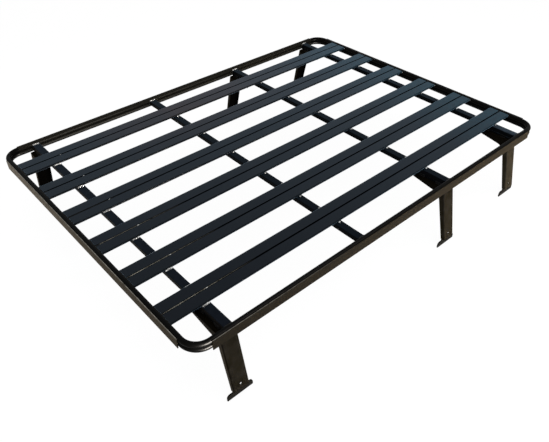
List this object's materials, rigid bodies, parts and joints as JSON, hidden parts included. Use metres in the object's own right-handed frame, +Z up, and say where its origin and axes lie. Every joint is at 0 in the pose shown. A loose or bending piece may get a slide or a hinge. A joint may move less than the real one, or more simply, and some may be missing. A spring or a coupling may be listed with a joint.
{
  "type": "roof rack",
  "caption": "Flat welded steel roof rack: a bent tube rail with side plates, slatted deck on cross members, and splayed sheet legs with gutter feet.",
  "frame": {"origin": "on the floor that the six feet stand on, midway between the outermost front leg and the back legs and midway along the rack", "axes": "+X along the slats towards the end whose cross member is nearer to it, +Y across the rack, +Z up"},
  "size_m": [1.9, 1.4666, 0.315],
  "materials": {
    "rail_coat": "semi-gloss black powder coat on bent round tube",
    "plate_coat": "satin black powder coat on flat bar",
    "slat_coat": "satin black powder coat on rectangular tube",
    "cross_coat": "satin black powder coat on rectangular tube",
    "leg_coat": "satin black powder coat on folded sheet",
    "foot_coat": "satin black powder coat on thick plate"
  },
  "bodies": {
    "root": {"front_rail": "rail_coat", "back_rail": "rail_coat", "left_rail": "rail_coat", "right_rail": "rail_coat", "front_side_plate": "plate_coat", "back_side_plate": "plate_coat", "left_side_plate": "plate_coat", "right_side_plate": "plate_coat", "slat_1_front_tube": "slat_coat", "slat_1_back_tube": "slat_coat", "slat_2_front_tube": "slat_coat", "slat_2_back_tube": "slat_coat", "slat_3_front_tube": "slat_coat", "slat_3_back_tube": "slat_coat", "slat_4_front_tube": "slat_coat", "slat_4_back_tube": "slat_coat", "slat_5_front_tube": "slat_coat", "slat_5_back_tube": "slat_coat", "slat_6_front_tube": "slat_coat", "slat_6_back_tube": "slat_coat", "cross_member_1": "cross_coat", "cross_member_2": "cross_coat", "cross_member_3": "cross_coat", "cross_member_4": "cross_coat", "front_packer_1": "cross_coat", "front_packer_2": "cross_coat", "front_packer_3": "cross_coat", "back_packer_1": "cross_coat", "back_packer_2": "cross_coat", "back_packer_3": "cross_coat", "front_leg_1": "leg_coat", "front_leg_2": "leg_coat", "front_leg_3": "leg_coat", "back_leg_1": "leg_coat", "back_leg_2": "leg_coat", "back_leg_3": "leg_coat", "front_foot_1": "foot_coat", "front_foot_2": "foot_coat", "front_foot_3": "foot_coat", "back_foot_1": "foot_coat", "back_foot_2": "foot_coat", "back_foot_3": "foot_coat"}
  },
  "joints": []
}
